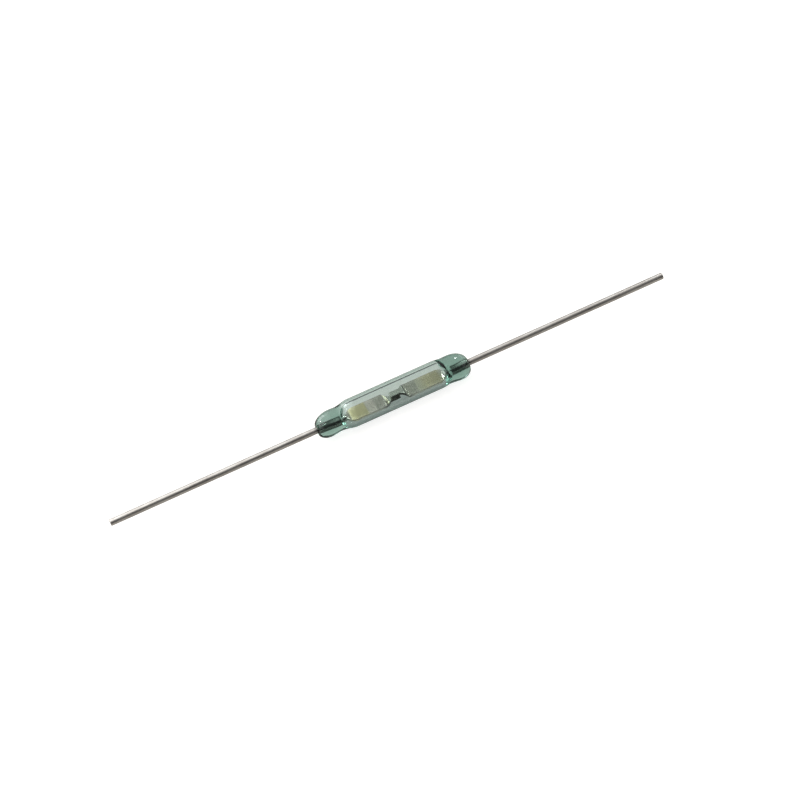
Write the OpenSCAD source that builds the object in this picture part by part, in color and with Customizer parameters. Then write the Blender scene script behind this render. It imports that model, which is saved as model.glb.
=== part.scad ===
// Glass reed switch: two flat-bladed nickel-iron reeds sealed into the ends of a glass tube.
// The tube lies along X, with its middle at the origin, and the blades lie flat, facing up and down.
// The left reed is the right one turned end for end, so that its contact lies under the other's.

/* [Glass tube] */
// Length of the glass from end to end
glass_len = 10.2; // [9.6:0.1:13]
// Outside diameter of the tube
tube_d = 1.8; // [1.76:0.02:2.2]
// Bore of the tube
bore_d = 1.28; // [1.22:0.02:1.4]
// Width of the flat ring of glass round each lead
lip_w = 0.06; // [0.03:0.01:0.09]

/* [Left seal] */
// Solid glass from the left end to the cavity
left_solid_len = 1.55; // [1.45:0.05:1.65]
// Length over which the left end of the bore closes onto the wire
left_closing_len = 1.1; // [0.9:0.05:1.2]
// Power of that closing curve: 1 makes a cone, more makes a dome
left_closing_power = 2.6; // [2:0.1:3]
// Diameter of the left bead
left_bead_d = 1.57; // [1.55:0.01:1.68]
// Length over which the left bead rounds off
left_round_len = 0.9; // [0.6:0.02:1]
// Diameter of the neck behind the left bead
left_neck_d = 1.51; // [1.46:0.01:1.54]
// Distance of that neck from the left end
left_neck_at = 1.5; // [1.36:0.02:1.6]
// Length of the shoulder from that neck to the tube
left_shoulder_len = 0.92; // [0.8:0.02:1.2]

/* [Right seal] */
// Solid glass from the right end to the cavity
right_solid_len = 1.32; // [1.2:0.02:1.5]
// Length over which the right end of the bore closes onto the wire
right_closing_len = 1; // [0.8:0.05:1.1]
// Power of that closing curve: 1 makes a cone, more makes a dome
right_closing_power = 1.5; // [1.3:0.1:2]
// Diameter of the right bead
right_bead_d = 1.74; // [1.71:0.01:1.75]
// Length over which the right bead rounds off
right_round_len = 0.88; // [0.6:0.02:1.02]
// Diameter of the neck behind the right bead
right_neck_d = 1.69; // [1.62:0.01:1.7]
// Distance of that neck from the right end
right_neck_at = 1.48; // [1.36:0.02:1.7]
// Length of the shoulder from that neck to the tube
right_shoulder_len = 0.6; // [0.5:0.02:0.8]

/* [Reed wire] */
// Diameter of the bare wire
wire_d = 0.4; // [0.34:0.01:0.44]
// Thickness of the tin on the leads
tin_t = 0.01; // [0.004:0.002:0.016]
// Length over which the tin thins out before it meets the glass
tin_fade_len = 0.6; // [0.55:0.05:1]
// Length of each lead outside the glass
lead_len = 13.5; // [4:0.1:18]
// Chamfer that the cut leaves round the end of a lead
cut_chamfer = 0.05; // [0.02:0.01:0.1]

/* [Stamped blade] */
// Length of a blade from its root to its tip
blade_len = 3.47; // [3.2:0.01:3.6]
// Width of a blade
blade_w = 1.06; // [0.86:0.01:1.12]
// Thickness of a blade
blade_t = 0.14; // [0.11:0.01:0.18]
// Length of the rounded root of a blade
root_len = 0.56; // [0.36:0.02:0.62]
// Length over which the round wire thins down to the blade, half of it either side of the root
press_len = 0.65; // [0.5:0.05:0.8]
// Distance from a blade's root to the line about which it flexes
flex_from_root = 0.65; // [0.63:0.01:0.86]

/* [Contacts] */
// Length over which the two contact tongues overlap
overlap = 0.6; // [0.44:0.02:0.86]
// Width of a contact tongue
tongue_w = 0.34; // [0.3:0.02:0.6]
// Thickness of a contact tongue, which is pressed less than the blade
tongue_t = 0.2; // [0.14:0.01:0.24]
// Length of a tongue from its tip to where it begins to widen
tongue_len = 0.5; // [0.4:0.02:0.6]
// Rounding of a tongue's two corners
tongue_r = 0.07; // [0.04:0.01:0.14]
// Length over which a tongue widens to its blade
flare_len = 0.72; // [0.5:0.02:0.9]
// Distance from the overlap to the step in a tongue's height
step_after = 0.2; // [0.12:0.02:0.28]
// Length of that step
step_len = 0.3; // [0.24:0.02:0.5]
// Air gap between the open contacts
contact_gap = 0.1; // [0.08:0.01:0.2]
// How far the contacts lie to the right of the middle of the glass
contact_shift = 0.1; // [0:0.02:0.2]

/* [Hidden] */
$fn = 96;

// Straight stretches drawn for each rounded part of an outline
arc_steps = 10;
// Spare height and width that leave a cutting outline clear of what it doesn't cut
spare = 0.05;
// Radius of a tinned lead
lead_r = wire_d / 2 + tin_t;
// Radius of the bulged long edges that pressing leaves on a blade
edge_r = lead_r + spare;
// Height of each tongue's middle plane above or below the axis
step_h = (contact_gap + tongue_t) / 2;

// Distances along a reed from the middle of the contacts, positive towards its lead
tip_x = -overlap / 2;
flare_x = tip_x + tongue_len;
step_x = overlap / 2 + step_after;
root_x = blade_len - overlap / 2;
full_w_x = root_x - root_len;
press_x = root_x - press_len / 2;
flex_x = root_x - flex_from_root;
left_glass_x = glass_len / 2 + contact_shift;
right_glass_x = glass_len / 2 - contact_shift;

glass_colour = [0.62, 0.76, 0.71, 0.45];
tinned_colour = [0.66, 0.64, 0.61];
blade_colour = [0.72, 0.70, 0.63];

// Smooth change from 0 to 1 as s goes from 0 to 1, flat at both ends and beyond them
function ease(s) = (1 - cos(180 * min(max(s, 0), 1))) / 2;

// Evenly spaced values from a to b
function span(a, b) = [for (i = [0 : arc_steps]) a + (b - a) * i / arc_steps];

// Outline of one end of the glass as [radius, distance from that end], from the lead to the tube:
// a flat lip, a quarter ellipse up to the bead, a dip to the neck and a rise to the tube
function seal_outline(bead_d, round_len, neck_d, neck_at, shoulder_len) =
    let (lip_r = wire_d / 2 + lip_w, bead_r = bead_d / 2, neck_r = neck_d / 2)
    concat(
        [[wire_d / 2, 0]],
        [for (a = span(0, 90)) [lip_r + (bead_r - lip_r) * sin(a), round_len * (1 - cos(a))]],
        [for (d = span(round_len, neck_at))
            if (d > round_len)
                [bead_r + (neck_r - bead_r) * ease((d - round_len) / (neck_at - round_len)), d]],
        [for (s = span(0, 1))
            if (s > 0)
                [neck_r + (tube_d / 2 - neck_r) * ease(s), neck_at + shoulder_len * s]]
    );

// Outline of one end of the cavity as [radius, distance from that end of the glass]:
// it rises from the wire and falls short of the bore by a power of the length still to go
function cavity_outline(solid_len, closing_len, power) =
    [for (s = span(0, 1))
        [wire_d / 2 + (bore_d - wire_d) / 2 * (1 - pow(1 - s, power)), solid_len + closing_len * s]];

function reversed(list) = [for (i = [len(list) - 1 : -1 : 0]) list[i]];
function from_left(outline) = [for (p = outline) [p[0], p[1] - glass_len / 2]];
function from_right(outline) = [for (p = outline) [p[0], glass_len / 2 - p[1]]];

// The glass: one revolved wall, solid at both ends, fused round the wires
module glass_envelope() {
    left = seal_outline(left_bead_d, left_round_len, left_neck_d, left_neck_at, left_shoulder_len);
    right = seal_outline(right_bead_d, right_round_len, right_neck_d, right_neck_at, right_shoulder_len);
    left_cavity = cavity_outline(left_solid_len, left_closing_len, left_closing_power);
    right_cavity = cavity_outline(right_solid_len, right_closing_len, right_closing_power);
    color(glass_colour)
        rotate([0, 90, 0])
            rotate_extrude()
                polygon(concat(
                    from_left(left),
                    reversed(from_right(right)),
                    from_right(right_cavity),
                    reversed(from_left(left_cavity))
                ));
}

// Height of a reed's middle plane: flat along the blade, then an S-shaped step up to the tongue
function mid_z(x) = step_h * (1 - ease((x - step_x) / step_len));

// Half of a reed's pressed thickness: more than the wire's radius along the lead, then down to the blade
// and up again at the step to the tongue
function half_t(x) =
    blade_t / 2
    + (edge_r - blade_t / 2) * ease((x - press_x) / press_len)
    + (tongue_t - blade_t) / 2 * (1 - ease((x - step_x) / step_len));

// Side view of a reed between two distances, as a slab right across its width
module side_slab(from_x, to_x) {
    bends = concat(span(step_x, step_x + step_len), span(press_x, press_x + press_len));
    xs = concat([from_x], [for (x = bends) if (x > from_x && x < to_x) x], [to_x]);
    rotate([90, 0, 0])
        linear_extrude(blade_w + 2 * spare, center = true)
            polygon(concat(
                [for (x = xs) [x, mid_z(x) + half_t(x)]],
                [for (x = reversed(xs)) [x, mid_z(x) - half_t(x)]]
            ));
}

// One side of a blade's plan, from tip to root, as [distance, half width]:
// a rounded corner, the tongue, a flare to the blade and a half ellipse at the root
function plan_side() =
    let (half_w = blade_w / 2 + spare, half_tongue = tongue_w / 2)
    concat(
        [for (a = span(0, 90))
            [tip_x + tongue_r * (1 - cos(a)), half_tongue - tongue_r * (1 - sin(a))]],
        [for (s = span(0, 1))
            [flare_x + flare_len * s, half_tongue + (half_w - half_tongue) * ease(s)]],
        [for (a = span(0, 90)) [full_w_x + root_len * sin(a), half_w * cos(a)]]
    );

// Flat blade, tongue and rounded root, with the bulged long edges that pressing leaves
module paddle() {
    side = plan_side();
    intersection() {
        linear_extrude(4 * edge_r, center = true)
            polygon(concat(side, [for (p = reversed(side)) if (p[1] > 0) [p[0], -p[1]]]));
        translate([tip_x - spare, 0, 0])
            rotate([90, 0, 90])
                linear_extrude(blade_len + 2 * spare)
                    union() {
                        square([blade_w - 2 * edge_r, 4 * edge_r], center = true);
                        for (side_sign = [-1, 1])
                            translate([side_sign * (blade_w / 2 - edge_r), 0])
                                circle(edge_r);
                    }
    }
}

// Round wire from the full width of the blade, through the glass, to the tinned and cut end of the lead
module wire(glass_x) {
    end_x = glass_x + lead_len;
    rotate([0, 90, 0])
        rotate_extrude()
            polygon([
                [0, full_w_x],
                [wire_d / 2, full_w_x],
                [wire_d / 2, glass_x],
                [lead_r, glass_x + tin_fade_len],
                [lead_r, end_x - cut_chamfer],
                [lead_r - cut_chamfer, end_x],
                [0, end_x]
            ]);
}

// The stiff part of a reed: its lead, its sealed shank and the pressed root of its blade
module reed_lead(glass_x) {
    intersection() {
        side_slab(flex_x, glass_x + lead_len + spare);
        union() {
            wire(glass_x);
            paddle();
        }
    }
}

// The part of a reed that flexes: its blade and contact tongue
module reed_blade() {
    intersection() {
        side_slab(tip_x - spare, flex_x);
        paddle();
    }
}

// Puts a reed into the right end of the glass, with its tongue on top
module right_place() {
    translate([contact_shift, 0, 0])
        children();
}

// Puts a reed into the left end of the glass, with its tongue underneath
module left_place() {
    translate([contact_shift, 0, 0])
        rotate([0, 180, 0])
            children();
}

module left_lead() {
    color(tinned_colour)
        left_place()
            reed_lead(left_glass_x);
}

module right_lead() {
    color(tinned_colour)
        right_place()
            reed_lead(right_glass_x);
}

module left_blade() {
    color(blade_colour)
        left_place()
            reed_blade();
}

module right_blade() {
    color(blade_colour)
        right_place()
            reed_blade();
}

glass_envelope();
left_lead();
right_lead();
left_blade();
right_blade();
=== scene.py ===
"""Glass reed switch: the sealed green tube, its two nickel-iron reeds, and a pale floor under soft light."""

import math

import bpy
import numpy as np
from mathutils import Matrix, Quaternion, Vector


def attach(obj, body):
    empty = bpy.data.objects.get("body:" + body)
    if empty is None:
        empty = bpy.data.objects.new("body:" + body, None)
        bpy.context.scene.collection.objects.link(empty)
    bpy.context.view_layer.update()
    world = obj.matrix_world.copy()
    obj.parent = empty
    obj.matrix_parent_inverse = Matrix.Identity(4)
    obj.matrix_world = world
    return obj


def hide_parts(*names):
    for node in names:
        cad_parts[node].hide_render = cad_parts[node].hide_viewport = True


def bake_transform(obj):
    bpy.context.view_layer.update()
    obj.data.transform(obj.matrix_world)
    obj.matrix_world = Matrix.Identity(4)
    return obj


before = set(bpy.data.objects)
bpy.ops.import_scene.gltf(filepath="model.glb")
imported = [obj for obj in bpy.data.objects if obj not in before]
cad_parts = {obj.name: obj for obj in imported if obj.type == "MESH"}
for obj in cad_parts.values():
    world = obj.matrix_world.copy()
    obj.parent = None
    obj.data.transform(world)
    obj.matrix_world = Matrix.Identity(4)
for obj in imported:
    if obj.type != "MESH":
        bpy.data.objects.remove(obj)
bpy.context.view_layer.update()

MM = 0.001

# Sizes in millimetres. Those that the solids have too are the same there, unless a comment says otherwise
GLASS_END = 5.1
TUBE_R = 0.9
BORE_R = 0.64
WIRE_R = 0.2
LEAD_R = 0.21
TIN_FADE = 0.6
LEAD_END = 18.6
LIP_W = 0.06
CHAMFER = 0.05
# Bead radius, rounding, neck radius, place of the neck and length of the shoulder at each end
LEFT_SEAL = dict(bead_r=0.785, rounding=0.9, neck_r=0.755, neck_at=1.5, shoulder=0.92)
RIGHT_SEAL = dict(bead_r=0.87, rounding=0.88, neck_r=0.845, neck_at=1.48, shoulder=0.6)
# Solid glass at each end, the length over which the bore closes onto the wire, and how round it closes.
# The right cavity reaches 0.1 mm nearer to the end than the solid's and closes more steeply
LEFT_CAVITY = dict(solid=1.55, closing=1.1, power=2.6)
RIGHT_CAVITY = dict(solid=1.22, closing=0.74, power=1.5)
# Unlike the solid, the melted tube lies a little back and up from the axis of the wires, and the outside of
# its ends comes back onto the wires over this length
GLASS_SET = (0.076, 0.065)
SET_LEN = 1.4
# The glass reaches a little way into the wire that it seals, so that no air shows between them. The channel
# round the wire starts inside the end of the glass and stops just short of the cavity
CHANNEL_DEPTH = 0.02
CAVITY_DEPTH = 0.01
CHANNEL_FROM = 0.1
CHANNEL_SHORT = 0.02

# Middle of the contacts, from which the places along a reed are measured
CONTACT_X = 0.1
TIP = -0.3
FLARE_FROM = 0.2
FLARE = 0.72
STEP_FROM = 0.5
STEP = 0.3
STEP_H = 0.15
HALF_BLADE_W = 0.53
HALF_BLADE_T = 0.07
HALF_TONGUE_W = 0.17
HALF_TONGUE_T = 0.1
TONGUE_CORNER = 0.07
# The roots are rounder than the solids' and end about 0.2 mm further out on the left and 0.4 mm on the right
ROOT_FROM = 2.3
ROOT_LEN = 1.05
PRESS_FROM = 3.0
PRESS_LEN = 0.65
RIGHT_ROOT_OUT = 0.2
# The flare, the root and the press head for a size this much too large and are cut off at the true one,
# which leaves a clear corner
PAST_SIZE = 0.05
# Radius of pressed edges, the length over which they become round wire, the rounding that wear leaves on
# the tip, and the least flat between two corners
PRESSED_EDGE = 0.035
EDGE_TO_WIRE = 0.5
WORN_TIP = 0.024
LEAST_FLAT = 0.002
# Length at the tip where the rings stand closest
FINE_TIP = 0.1
# Where sheared edges begin to give way to bulged ones, and the length over which a kind of edge fades
SHEARED_TO = 0.6
EDGE_FADE = 0.7
# Each reed is shown in two pieces, which meet out of sight in the middle of the sealed wire
REED_JOIN = 4.2

# Angle between two faces above which the edge between them shows as an edge
SHARP = math.radians(32)
# Points in each ring of the glass and of a lead
GLASS_POINTS = 160
LEAD_POINTS = 64


def ease(s):
    """Half a cosine wave from 0 to 1 as s goes from 0 to 1, level at both ends and beyond them."""
    return (1 - np.cos(np.pi * np.clip(s, 0, 1))) / 2


def skin(name, rings, endless=False):
    """Mesh over an array of closed rings, shape (rings, points, 3) in millimetres. Four-sided faces join
    each ring to the next. An endless skin joins its last ring to its first; any other gets a flat face
    over each end. The signed volume under the faces tells which way they point, and turns them outwards."""
    count, points = rings.shape[:2]
    spots = rings.reshape(-1, 3) * MM
    index = np.arange(count * points).reshape(count, points)
    here = index if endless else index[:-1]
    there = np.roll(index, -1, axis=0) if endless else index[1:]
    quads = np.stack([here, there, np.roll(there, -1, axis=1), np.roll(here, -1, axis=1)], axis=-1)
    quads = quads.reshape(-1, 4)
    a, b, c, d = (spots[quads[:, i]] for i in range(4))
    volume = np.sum(a * np.cross(b, c)) + np.sum(a * np.cross(c, d))
    faces = quads.tolist()
    if not endless:
        faces.append(index[0].tolist())
        faces.append(index[-1][::-1].tolist())
    if volume < 0:
        faces = [face[::-1] for face in faces]
    mesh = bpy.data.meshes.new(name)
    mesh.from_pydata(spots.tolist(), [], faces)
    mesh.shade_smooth()
    mesh.set_sharp_from_angle(angle=SHARP)
    made = bpy.data.objects.new(name, mesh)
    bpy.context.collection.objects.link(made)
    return made


def stretch(x, r):
    """Part of a profile as an array of [x, radius], where either may be one value for the whole stretch."""
    return np.stack(np.broadcast_arrays(x, r), axis=1)


def revolved(profile, points, aside=0, above=0):
    """Rings about the X axis, one for each [x, radius] of the profile: y and z are the radius times the
    cosine and the sine of the angle round the axis, plus how far the ring's middle lies aside and above."""
    angle = np.linspace(0, 2 * np.pi, points, endpoint=False)
    x, r = profile[:, :1], profile[:, 1:]
    return np.stack([x + 0 * angle, aside + r * np.cos(angle), above + r * np.sin(angle)], axis=-1)


def seal_outline(bead_r, rounding, neck_r, neck_at, shoulder):
    """Outside of one end of the glass as [distance from that end, radius]: a flat lip from inside the wire,
    a quarter ellipse up to the bead, half a cosine wave down to the neck and another up to the tube."""
    lip_r = WIRE_R + LIP_W
    turn = np.linspace(0, np.pi / 2, 40)
    part = np.linspace(0, 1, 40)[1:]
    lip = stretch(0.0, np.linspace(WIRE_R - CHANNEL_DEPTH, lip_r, 5)[:-1])
    end = stretch(rounding * (1 - np.cos(turn)), lip_r + (bead_r - lip_r) * np.sin(turn))
    dip = stretch(rounding + (neck_at - rounding) * part, bead_r + (neck_r - bead_r) * ease(part))
    rise = stretch(neck_at + shoulder * part, neck_r + (TUBE_R - neck_r) * ease(part))
    return np.concatenate([lip, end, dip, rise])


def cavity_outline(solid, closing, power):
    """Inside of one end of the glass, from just inside that end to the bore: a channel that the wire fills,
    then a rise to the bore that falls short of it by a power of the length still to go, so that the power 1
    is a cone and higher powers are rounder."""
    mouth_r = WIRE_R - CAVITY_DEPTH
    part = np.linspace(0, 1, 48)
    channel = stretch(np.linspace(CHANNEL_FROM, solid - CHANNEL_SHORT, 12), WIRE_R - CHANNEL_DEPTH)
    opening = stretch(solid + closing * part, mouth_r + (BORE_R - mouth_r) * (1 - (1 - part) ** power))
    return np.concatenate([channel, opening])


def glass_tube():
    """The tube and its two melted ends as one wall: outside from left to right, then back along the inside.
    The middles of the rings come back onto the wires over half a cosine wave, outside by the distance from
    the end of the glass and inside by the closing of the bore."""
    left_out = seal_outline(**LEFT_SEAL) - [GLASS_END, 0]
    right_out = seal_outline(**RIGHT_SEAL) * [-1, 1] + [GLASS_END, 0]
    left_in = cavity_outline(**LEFT_CAVITY) - [GLASS_END, 0]
    right_in = cavity_outline(**RIGHT_CAVITY) * [-1, 1] + [GLASS_END, 0]
    steps = np.linspace(0, 1, 42)[1:-1, None]
    wall = left_out[-1] + (right_out[-1] - left_out[-1]) * steps
    bore = right_in[-1] + (left_in[-1] - right_in[-1]) * steps
    outside = np.concatenate([left_out, wall, right_out[::-1]])
    inside = np.concatenate([right_in, bore, left_in[::-1]])
    off_outside = ease((GLASS_END - np.abs(outside[:, :1])) / SET_LEN)
    off_inside = ease((inside[:, 1:] - WIRE_R) / (BORE_R - WIRE_R))
    off = np.concatenate([off_outside, off_inside])
    outline = np.concatenate([outside, inside])
    rings = revolved(outline, GLASS_POINTS, off * GLASS_SET[0], off * GLASS_SET[1])
    return skin("glass_tube", rings, endless=True)


def lead_profile(glass_side):
    """Lead from the middle of the seal to its cut end, as [distance from the middle of the glass, radius]:
    bare wire, a slow rise onto the tin, the tinned length and the rounded chamfer of the cut."""
    cut_from = LEAD_END - CHAMFER
    part = np.linspace(0, 1, 14)[1:]
    turn = np.linspace(0, np.pi / 2, 8)[1:]
    bare = stretch(np.linspace(glass_side, GLASS_END, 12), WIRE_R)
    fade = stretch(GLASS_END + TIN_FADE * part, WIRE_R + (LEAD_R - WIRE_R) * part)
    tinned = stretch(np.linspace(GLASS_END + TIN_FADE, cut_from, 90)[1:], LEAD_R)
    cut = stretch(cut_from + CHAMFER * np.sin(turn), LEAD_R - CHAMFER * (1 - np.cos(turn)))
    return np.concatenate([bare, fade, tinned, cut])


def reed_lead(name, side):
    """Tinned lead on one side, 1 for right and -1 for left."""
    join = REED_JOIN + side * CONTACT_X
    return skin(name, revolved(lead_profile(join), LEAD_POINTS) * [side, 1, 1])


def half_width(x, root_from):
    """Half of a reed's width at distance x from the middle of the contacts: rounded tip corners, the tongue,
    half a cosine wave out to the blade, and a quarter ellipse in to the wire at the root."""
    corner = np.clip(1 - (x - TIP) / TONGUE_CORNER, 0, 1)
    tongue = HALF_TONGUE_W - TONGUE_CORNER * (1 - np.sqrt(1 - corner**2))
    widest = HALF_BLADE_W + PAST_SIZE
    flare = (widest - HALF_TONGUE_W) * ease((x - FLARE_FROM) / FLARE)
    into_root = np.clip((x - root_from) / ROOT_LEN, 0, 1)
    root = widest * np.sqrt(1 - into_root**2)
    return np.maximum(np.minimum(np.minimum(tongue + flare, HALF_BLADE_W), root), WIRE_R)


def half_thickness(x, press_from):
    """Half of a reed's thickness: the pressed blade, with half a cosine wave up to the tongue at one end and
    another up to the round wire at the other."""
    tongue = (HALF_TONGUE_T - HALF_BLADE_T) * (1 - ease((x - STEP_FROM) / STEP))
    root = (LEAD_R + PAST_SIZE - HALF_BLADE_T) * ease((x - press_from) / PRESS_LEN)
    return np.minimum(HALF_BLADE_T + tongue + root, WIRE_R)


def rounded_rectangle():
    """Points round a rectangle with rounded corners: nine on a quarter circle at each corner, and on the
    flat that follows it one in the middle and one close to either end. The first two arrays are each point's
    direction from its centre, as the cosine and the sine of its angle. The other two say where that centre
    lies, from -1 to 1 between opposite corners."""
    quarter = np.arange(4)[:, None]
    corner_turn = np.linspace(0, 1, 9)
    flat_spots = np.array([0.92, 0.0, -0.92])
    corner = (quarter + corner_turn) * np.pi / 2
    flat = np.repeat((quarter + 1) * np.pi / 2, flat_spots.size, axis=1)
    angle = np.concatenate([corner, flat], axis=1)
    along_flat = np.concatenate([np.ones(corner_turn.size), flat_spots])
    level = quarter % 2 == 0
    side_y = np.array([[1], [-1], [-1], [1]]) * np.where(level, along_flat, 1)
    side_z = np.array([[1], [1], [-1], [-1]]) * np.where(level, 1, along_flat)
    return np.cos(angle).ravel(), np.sin(angle).ravel(), side_y.ravel(), side_z.ravel()


def reed_blade(name, side):
    """Flat blade, stepped tongue and pressed root on one side, as rounded rectangles carried along the reed.
    Each ring point is a corner centre plus the corner radius times its own direction; the corners go from
    the small radius of a pressed edge to the full round of the wire, and the middle of the ring climbs
    half a cosine wave at the step."""
    root_out = RIGHT_ROOT_OUT if side > 0 else 0
    root_from = ROOT_FROM + root_out
    press_from = PRESS_FROM + root_out
    press_to = press_from + PRESS_LEN
    flare_to = FLARE_FROM + FLARE
    stretches = [
        TIP + FINE_TIP * np.linspace(0, 1, 30) ** 2,
        np.linspace(TIP + FINE_TIP, FLARE_FROM, 20),
        np.linspace(FLARE_FROM, flare_to, 72),
        np.linspace(flare_to, root_from, 50),
        np.linspace(root_from, press_to, 120),
        np.linspace(press_to, REED_JOIN, 12),
    ]
    x = np.unique(np.concatenate(stretches).round(6))
    short = np.clip(1 - (x - TIP) / WORN_TIP, 0, 1)
    inset = WORN_TIP * (1 - np.sqrt(1 - short**2))
    width = half_width(x, root_from) - inset
    thick = half_thickness(x, press_from) - inset
    round_off = PRESSED_EDGE + (WIRE_R - PRESSED_EDGE) * ease((x - press_from) / EDGE_TO_WIRE)
    corner = np.minimum(round_off, np.minimum(width, thick) - LEAST_FLAT)
    climb = STEP_H * (1 - ease((x - STEP_FROM) / STEP))
    out_y, out_z, side_y, side_z = rounded_rectangle()
    y = side_y * (width - corner)[:, None] + out_y * corner[:, None]
    z = side_z * (thick - corner)[:, None] + out_z * corner[:, None] + climb[:, None]
    rings = np.stack([np.broadcast_to(x[:, None], y.shape), y, z], axis=-1)
    made = skin(name, rings * [side, 1, side] + [CONTACT_X, 0, 0])
    # How far each point faces sideways marks the sheared edges of the tongue and its flare, which also get
    # painted shade, and further out the bulged edges of the blade, up to its root, which also get a painted
    # sheen
    sideways = out_y**2
    past_flare = ease((x - SHEARED_TO) / EDGE_FADE)[:, None]
    before_root = 1 - ease((x - root_from) / EDGE_FADE)[:, None]
    sheared_and_shaded = sideways * (1 - past_flare)
    bulged = sideways * past_flare * before_root
    made.data.attributes.new("sheared_and_shaded", "FLOAT", "POINT").data.foreach_set("value", sheared_and_shaded.ravel())
    made.data.attributes.new("bulged", "FLOAT", "POINT").data.foreach_set("value", bulged.ravel())
    return made


def linear(code):
    """Colour written as an sRGB hex code, turned to the linear values that the shaders take."""
    value = np.array([int(code[i : i + 2], 16) for i in (0, 2, 4)]) / 255
    value = np.where(value <= 0.04045, value / 12.92, ((value + 0.055) / 1.055) ** 2.4)
    return (*value.tolist(), 1.0)


WHITE = linear("ffffff")
# Wire inside the seal, where the lead and the blade of a reed meet
SEALED_WIRE = linear("7c7d79")
SEALED_ROUGHNESS = 0.2


def add_node(tree, kind, sockets=None, ramp=None, **settings):
    """Adds a node with its settings. Each socket gets a value, or a link where it is given another node's
    socket, and a ramp gets its [place, colour] stops."""
    made = tree.nodes.new(kind)
    for key, value in settings.items():
        setattr(made, key, value)
    for key, value in (sockets or {}).items():
        if isinstance(value, bpy.types.NodeSocket):
            tree.links.new(value, made.inputs[key])
        else:
            made.inputs[key].default_value = value
    if ramp:
        stops = made.color_ramp.elements
        while len(stops) < len(ramp):
            stops.new(1.0)
        for stop, (place, colour) in zip(stops, ramp):
            stop.position = place
            stop.color = colour
    return made


def new_material(name):
    """Material with an empty node tree, and that tree."""
    made = bpy.data.materials.new(name)
    made.use_nodes = True
    made.node_tree.nodes.clear()
    return made, made.node_tree


def sealing_glass():
    """Soft green sealing glass, drawn as tube and melted at both ends: clear and fire-polished, so edges and
    refraction show it. Iron in it takes out more red than green, and the thick ends look deeper."""
    made, tree = new_material("green_sealing_glass_drawn_and_fire_polished")
    place = add_node(tree, "ShaderNodeTexCoord").outputs["Object"]
    # Drawing lines: faint ridges about 0.3 mm apart that run 8 mm along the tube
    lines = add_node(
        tree, "ShaderNodeVectorMath", {0: place, 1: (1 / (8 * MM), 1 / (0.3 * MM), 1 / (0.3 * MM))},
        operation="MULTIPLY",
    ).outputs[0]
    ridges = add_node(tree, "ShaderNodeTexNoise", {"Vector": lines, "Scale": 1.0, "Detail": 1.0})
    # Flow of the melted ends: soft lumps about 0.9 mm across, twice as high as the ridges
    lumps = add_node(tree, "ShaderNodeTexNoise", {"Vector": place, "Scale": 1 / (0.9 * MM), "Detail": 1.5})
    relief = add_node(
        tree, "ShaderNodeMath", {0: lumps.outputs["Fac"], 1: 2.0, 2: ridges.outputs["Fac"]},
        operation="MULTIPLY_ADD",
    )
    bump = add_node(
        tree, "ShaderNodeBump", {"Height": relief.outputs[0], "Strength": 0.25, "Distance": 0.012 * MM}
    )
    glass = add_node(
        tree, "ShaderNodeBsdfPrincipled",
        {
            "Base Color": WHITE, "Roughness": 0.01, "IOR": 1.5, "Transmission Weight": 1.0,
            "Normal": bump.outputs["Normal"],
        },
    )
    # Each millimetre of glass takes out a part of what this colour lacks of white
    tint = add_node(tree, "ShaderNodeVolumeAbsorption", {"Color": linear("9bd1c2"), "Density": 1 / MM})
    add_node(tree, "ShaderNodeOutputMaterial", {"Surface": glass.outputs[0], "Volume": tint.outputs[0]})
    return made


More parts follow.
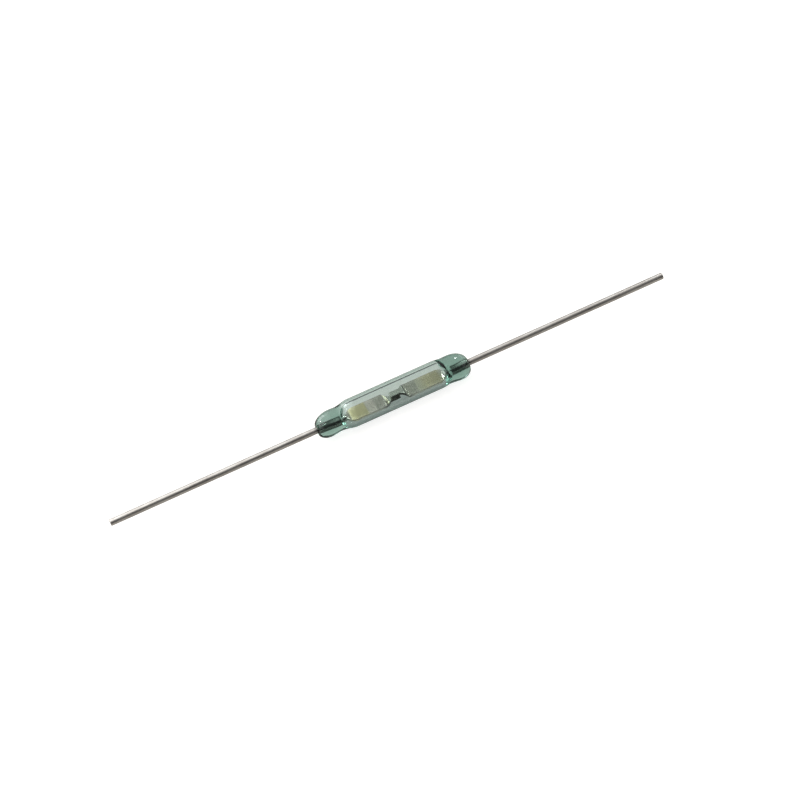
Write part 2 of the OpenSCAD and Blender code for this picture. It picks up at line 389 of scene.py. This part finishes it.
def tinned_wire():
    """Tin on drawn nickel-iron wire: satin and slightly wavy from the dip, with drawing lines under it.
    The wire inside the glass has no tin, and is darker and smoother."""
    made, tree = new_material("satin_tin_on_drawn_nickel_iron_wire")
    place = add_node(tree, "ShaderNodeTexCoord").outputs["Object"]
    along = add_node(tree, "ShaderNodeSeparateXYZ", {0: place}).outputs["X"]
    far = add_node(tree, "ShaderNodeMath", {0: along}, operation="ABSOLUTE").outputs[0]
    # Drawing lines 0.02 mm apart are finer than the picture shows, so they are drawn 0.09 mm apart
    lines = add_node(
        tree, "ShaderNodeVectorMath", {0: place, 1: (1 / (2.5 * MM), 1 / (0.09 * MM), 1 / (0.09 * MM))},
        operation="MULTIPLY",
    ).outputs[0]
    drawn = add_node(tree, "ShaderNodeTexNoise", {"Vector": lines, "Scale": 1.0, "Detail": 2.0})
    # Waves that the dip leaves, about 0.8 mm long and twice as high as the drawing lines
    waves = add_node(tree, "ShaderNodeTexNoise", {"Vector": place, "Scale": 1 / (0.8 * MM), "Detail": 3.0})
    tin = add_node(
        tree, "ShaderNodeValToRGB", {"Fac": waves.outputs["Fac"]},
        ramp=[(0.3, linear("c3beb8")), (0.7, linear("d9d6d1"))],
    )
    # Tin begins 0.1 mm inside the end of the glass and is whole 0.25 mm outside it
    tin_from = (GLASS_END - 0.1) * MM
    tin_whole = (GLASS_END + 0.25) * MM
    cover = add_node(
        tree, "ShaderNodeMapRange",
        {"Value": far, "From Min": tin_from, "From Max": tin_whole, "To Min": 0.0, "To Max": 1.0},
        interpolation_type="SMOOTHSTEP",
    ).outputs[0]
    colour = add_node(
        tree, "ShaderNodeMix", {"Factor": cover, "A": SEALED_WIRE, "B": tin.outputs["Color"]},
        data_type="RGBA",
    )
    satin = add_node(
        tree, "ShaderNodeMapRange",
        {"Value": drawn.outputs["Fac"], "From Min": 0.3, "From Max": 0.7, "To Min": 0.26, "To Max": 0.4},
    )
    rough = add_node(tree, "ShaderNodeMix", {"Factor": cover, "A": SEALED_ROUGHNESS, "B": satin.outputs[0]})
    relief = add_node(
        tree, "ShaderNodeMath", {0: waves.outputs["Fac"], 1: 2.0, 2: drawn.outputs["Fac"]},
        operation="MULTIPLY_ADD",
    )
    bump = add_node(
        tree, "ShaderNodeBump", {"Height": relief.outputs[0], "Strength": 0.4, "Distance": 0.01 * MM}
    )
    metal = add_node(
        tree, "ShaderNodeBsdfPrincipled",
        {
            "Base Color": colour.outputs["Result"], "Metallic": 1.0, "Roughness": rough.outputs["Result"],
            "Normal": bump.outputs["Normal"],
        },
    )
    add_node(tree, "ShaderNodeOutputMaterial", {"Surface": metal.outputs[0]})
    return made


def stamped_blade():
    """Nickel-iron pressed flat between dies: bright, with faint press lines across. The contact end is
    plated and greyer, with dull sheared edges that also carry painted shade, and the heat of sealing leaves
    a straw tint towards the root. A painted highlight lies on the left step and painted shade in the crease
    of the right step. The bulged edges of the blade are brighter than its faces, partly as a painted sheen,
    and the root is smooth and catches glints."""
    made, tree = new_material("pressed_nickel_iron_with_plated_contact")
    place = add_node(tree, "ShaderNodeTexCoord").outputs["Object"]
    along = add_node(tree, "ShaderNodeSeparateXYZ", {0: place}).outputs["X"]
    far = add_node(tree, "ShaderNodeMath", {0: along}, operation="ABSOLUTE").outputs[0]
    # Colours by their place along the switch in millimetres, from the left root to the right one
    zones = [
        (-3.6, SEALED_WIRE), (-3.3, linear("a9a9a4")), (-3.1, linear("c9c6bd")),  # sealed wire, bright root
        (-2.8, linear("c0b792")), (-1.86, linear("beb591")),  # straw tint
        (-1.76, linear("c6bfb4")), (-1.3, linear("c3bbb1")),  # bare blade
        (-1.2, linear("aba79d")), (-0.58, linear("aba79d")),  # plating
        (-0.53, linear("ece8cf")), (-0.42, linear("ece8cf")),  # painted highlight on the left step
        (-0.37, linear("b4b7ad")), (0.68, linear("b0b2a8")),  # plated tongues
        (0.72, linear("5a5b55")), (0.77, linear("5a5b55")),  # painted shade in the crease at the right step
        (0.81, linear("a8a69a")), (1.5, linear("a8a69a")),  # plating
        (1.62, linear("c0bdab")),  # bare blade
        (2.2, linear("c0b89a")), (3.0, linear("c0b89a")),  # straw tint
        (3.4, linear("c9c8c1")), (3.7, linear("a9a9a4")), (3.8, SEALED_WIRE),  # bright root, sealed wire
    ]
    # The zones' borders stray by half of this either way, and the ramp covers the zones' reach to each side
    zone_stray = 0.12
    zone_reach = 4
    stray = add_node(tree, "ShaderNodeTexNoise", {"Vector": place, "Scale": 1 / (0.6 * MM), "Detail": 2.0})
    moved = add_node(
        tree, "ShaderNodeMath", {0: stray.outputs["Fac"], 1: zone_stray * MM, 2: along},
        operation="MULTIPLY_ADD",
    ).outputs[0]
    ramp_from = (zone_stray / 2 - zone_reach) * MM
    ramp_to = (zone_stray / 2 + zone_reach) * MM
    spot = add_node(
        tree, "ShaderNodeMapRange",
        {"Value": moved, "From Min": ramp_from, "From Max": ramp_to, "To Min": 0.0, "To Max": 1.0},
    ).outputs[0]
    colour = add_node(
        tree, "ShaderNodeValToRGB", {"Fac": spot},
        ramp=[((x + zone_reach) / (2 * zone_reach), tone) for x, tone in zones],
    )
    # Sheared edges are torn and dull, and painted shade on the tongues' sides darkens them further,
    # so they look much darker than the pressed faces
    edge = add_node(tree, "ShaderNodeAttribute", attribute_name="sheared_and_shaded").outputs["Fac"]
    colour = add_node(
        tree, "ShaderNodeMix", {"Factor": edge, "A": colour.outputs["Color"], "B": linear("504f48")},
        data_type="RGBA",
    )
    # Bulged edges are the wire's own drawn skin, which is brighter than the pressed faces, and a painted
    # sheen on the blade's sides makes them brighter still
    sheen_on_bulged = add_node(tree, "ShaderNodeAttribute", attribute_name="bulged").outputs["Fac"]
    colour = add_node(
        tree, "ShaderNodeMix", {"Factor": sheen_on_bulged, "A": colour.outputs["Result"], "B": linear("dcd9cc")},
        data_type="RGBA",
    )
    # Press lines across the blade: real ones are about 0.01 mm apart, drawn here 0.07 mm apart
    lines = add_node(
        tree, "ShaderNodeVectorMath", {0: place, 1: (1 / (0.07 * MM), 1 / (0.6 * MM), 1 / (0.6 * MM))},
        operation="MULTIPLY",
    ).outputs[0]
    pressed = add_node(tree, "ShaderNodeTexNoise", {"Vector": lines, "Scale": 1.0, "Detail": 2.0})
    satin = add_node(
        tree, "ShaderNodeMapRange",
        {"Value": pressed.outputs["Fac"], "From Min": 0.3, "From Max": 0.7, "To Min": 0.16, "To Max": 0.26},
    )
    # They end where the dies let go of the wire, from 2.3 to 2.8 mm out. From 2.4 to 2.9 mm their satin
    # gives way to the smooth skin of drawn wire, which loses its shine in the seal, from 3.6 to 3.9 mm
    depth = add_node(
        tree, "ShaderNodeMapRange",
        {"Value": far, "From Min": 2.3 * MM, "From Max": 2.8 * MM, "To Min": 0.2, "To Max": 0.0},
        interpolation_type="SMOOTHSTEP",
    )
    drawn = add_node(
        tree, "ShaderNodeMapRange",
        {"Value": far, "From Min": 2.4 * MM, "From Max": 2.9 * MM, "To Min": 0.0, "To Max": 1.0},
        interpolation_type="SMOOTHSTEP",
    )
    root = add_node(
        tree, "ShaderNodeMapRange",
        {
            "Value": far, "From Min": 3.6 * MM, "From Max": 3.9 * MM,
            "To Min": 0.08, "To Max": SEALED_ROUGHNESS,
        },
        interpolation_type="SMOOTHSTEP",
    )
    rough = add_node(
        tree, "ShaderNodeMix", {"Factor": drawn.outputs[0], "A": satin.outputs[0], "B": root.outputs[0]}
    )
    bump = add_node(
        tree, "ShaderNodeBump",
        {"Height": pressed.outputs["Fac"], "Strength": depth.outputs[0], "Distance": 0.004 * MM},
    )
    metal = add_node(
        tree, "ShaderNodeBsdfPrincipled",
        {
            "Base Color": colour.outputs["Result"], "Metallic": 1.0, "Roughness": rough.outputs["Result"],
            "Normal": bump.outputs["Normal"],
        },
    )
    add_node(tree, "ShaderNodeOutputMaterial", {"Surface": metal.outputs[0]})
    return made


def matt_paper():
    """Matt pale grey paper. What the lens, the metal and the glass see of it gets a lift towards white, and
    the light that it takes from the lamps keeps the soft shadow."""
    made, tree = new_material("matt_pale_grey_paper")
    ray = add_node(tree, "ShaderNodeLightPath")
    lift = 0.0
    for seen, share in (("Is Glossy Ray", 0.04), ("Is Transmission Ray", 0.2), ("Is Camera Ray", 0.85)):
        lift = add_node(
            tree, "ShaderNodeMath", {0: ray.outputs[seen], 1: share, 2: lift}, operation="MULTIPLY_ADD"
        ).outputs[0]
    paper = add_node(tree, "ShaderNodeBsdfDiffuse", {"Color": linear("a9a6a1")})
    glow = add_node(tree, "ShaderNodeEmission", {"Color": WHITE, "Strength": lift})
    both = add_node(tree, "ShaderNodeAddShader", {0: paper.outputs[0], 1: glow.outputs[0]})
    add_node(tree, "ShaderNodeOutputMaterial", {"Surface": both.outputs[0]})
    return made


def paper_floor():
    """Square of paper, three metres wide, that the tube lies on."""
    reach = 1.5
    height = (GLASS_SET[1] - TUBE_R) * MM
    corners = [(-reach, -reach), (reach, -reach), (reach, reach), (-reach, reach)]
    mesh = bpy.data.meshes.new("paper_floor")
    mesh.from_pydata([(x, y, height) for x, y in corners], [], [(0, 1, 2, 3)])
    mesh.materials.append(matt_paper())
    made = bpy.data.objects.new("paper_floor", mesh)
    bpy.context.collection.objects.link(made)
    return made


def softbox(name, at, size, radiance):
    """Square area lamp at a place in metres, turned to the middle of the switch, as bright as a surface of
    that radiance."""
    lamp = bpy.data.lights.new(name, "AREA")
    lamp.shape = "SQUARE"
    lamp.size = size
    lamp.energy = radiance * math.pi * size * size
    made = bpy.data.objects.new(name, lamp)
    made.location = at
    made.rotation_euler = (-Vector(at)).to_track_quat("-Z", "Y").to_euler()
    bpy.context.collection.objects.link(made)


# Strengths of the room's light, of which 1 is white, and the share that is left at the height of the floor
ROOM_FRONT = 0.12
ROOM_REAR_LEFT = 1.9
ROOM_REAR_RIGHT = 0.65
ROOM_SIDES = 0.7
SKIRTING_SHARE = 0.06


def studio_room():
    """Room round the switch: dim in front, where the camera stands, bright behind and brightest behind on
    the left, with lit walls to both sides and a dark skirting all round at the height of the floor. Each
    part starts and ends at a share of X, Y or Z in the direction of view, whose length is 1."""
    made = bpy.data.worlds.new("studio_room")
    made.use_nodes = True
    tree = made.node_tree
    tree.nodes.clear()
    place = add_node(tree, "ShaderNodeTexCoord").outputs["Generated"]
    look = add_node(tree, "ShaderNodeSeparateXYZ", {0: place}).outputs
    behind = add_node(
        tree, "ShaderNodeMapRange", {"Value": look["Y"], "From Min": -0.45, "From Max": 0.05},
        interpolation_type="SMOOTHSTEP",
    )
    rear = add_node(
        tree, "ShaderNodeMapRange",
        {
            "Value": look["X"], "From Min": 0.03, "From Max": 0.17,
            "To Min": ROOM_REAR_LEFT, "To Max": ROOM_REAR_RIGHT,
        },
        interpolation_type="SMOOTHSTEP",
    )
    middle = add_node(
        tree, "ShaderNodeMapRange",
        {"Value": behind.outputs[0], "To Min": ROOM_FRONT, "To Max": rear.outputs[0]},
    )
    aside = add_node(tree, "ShaderNodeMath", {0: look["X"]}, operation="ABSOLUTE")
    sides = add_node(
        tree, "ShaderNodeMapRange",
        {"Value": aside.outputs[0], "From Min": 0.45, "From Max": 0.8, "To Min": 0.0, "To Max": ROOM_SIDES},
        interpolation_type="SMOOTHSTEP",
    )
    walls = add_node(
        tree, "ShaderNodeMath", {0: middle.outputs[0], 1: sides.outputs[0]}, operation="MAXIMUM"
    )
    skirting = add_node(
        tree, "ShaderNodeMapRange",
        {"Value": look["Z"], "From Min": 0.16, "From Max": 0.38, "To Min": SKIRTING_SHARE, "To Max": 1.0},
        interpolation_type="SMOOTHSTEP",
    )
    level = add_node(
        tree, "ShaderNodeMath", {0: walls.outputs[0], 1: skirting.outputs[0]}, operation="MULTIPLY"
    )
    glow = add_node(tree, "ShaderNodeBackground", {"Color": WHITE, "Strength": level.outputs[0]})
    add_node(tree, "ShaderNodeOutputWorld", {"Surface": glow.outputs[0]})
    return made


# Camera: close up, 15 degrees to the left of square on and 49 degrees above the floor, and rolled
AZIMUTH = math.radians(-15.2)
ELEVATION = math.radians(48.6)
ROLL = math.radians(-12.6)
DISTANCE = 0.13
SENSOR = 36.0
# Width of the square picture in pixels, how large the switch is in it, and where its middle lies, from the
# upper left corner
PICTURE = 800
PIXELS_PER_MM = 16.5
MIDDLE_AT = (393.0, 396.2)


def close_up_camera():
    """Camera turned to the middle of the switch, with its picture shifted to put that in its place."""
    towards = Vector(
        (
            math.sin(AZIMUTH) * math.cos(ELEVATION),
            -math.cos(AZIMUTH) * math.cos(ELEVATION),
            math.sin(ELEVATION),
        )
    )
    lens = bpy.data.cameras.new("camera")
    lens.sensor_width = SENSOR
    lens.lens = SENSOR * PIXELS_PER_MM * DISTANCE / MM / PICTURE
    lens.clip_start = 0.001
    lens.clip_end = 10.0
    lens.shift_x = 0.5 - MIDDLE_AT[0] / PICTURE
    lens.shift_y = MIDDLE_AT[1] / PICTURE - 0.5
    made = bpy.data.objects.new("camera", lens)
    made.location = towards * DISTANCE
    turned = (-towards).to_track_quat("-Z", "Y") @ Quaternion((0, 0, 1), ROLL)
    made.rotation_euler = turned.to_euler()
    bpy.context.collection.objects.link(made)
    return made


glass = glass_tube()
glass.data.materials.append(sealing_glass())
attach(glass, "envelope")
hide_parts("glass_envelope")

tin = tinned_wire()
nickel_iron = stamped_blade()
for name, side in (("left", -1), ("right", 1)):
    lead = reed_lead(f"{name}_tinned_lead", side)
    lead.data.materials.append(tin)
    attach(lead, "envelope")
    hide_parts(f"{name}_lead")
    blade = reed_blade(f"{name}_stamped_blade", side)
    blade.data.materials.append(nickel_iron)
    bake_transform(blade)
    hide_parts(f"{name}_blade")

floor = paper_floor()

# Two small lamps and a window stand behind the switch, and a low card on the right lights the blades' steps
softbox("left_lamp", at=(-0.35, 0.25, 0.40), size=0.06, radiance=40.0)
softbox("right_lamp", at=(0.28, 0.30, 0.42), size=0.06, radiance=25.0)
softbox("rear_window", at=(-0.25, 0.50, 0.22), size=0.36, radiance=2.4)
softbox("low_right_card", at=(0.38, 0.32, 0.06), size=0.2, radiance=1.4)

bpy.context.scene.world = studio_room()
bpy.context.scene.camera = close_up_camera()
bpy.context.scene.view_settings.view_transform = "Standard"
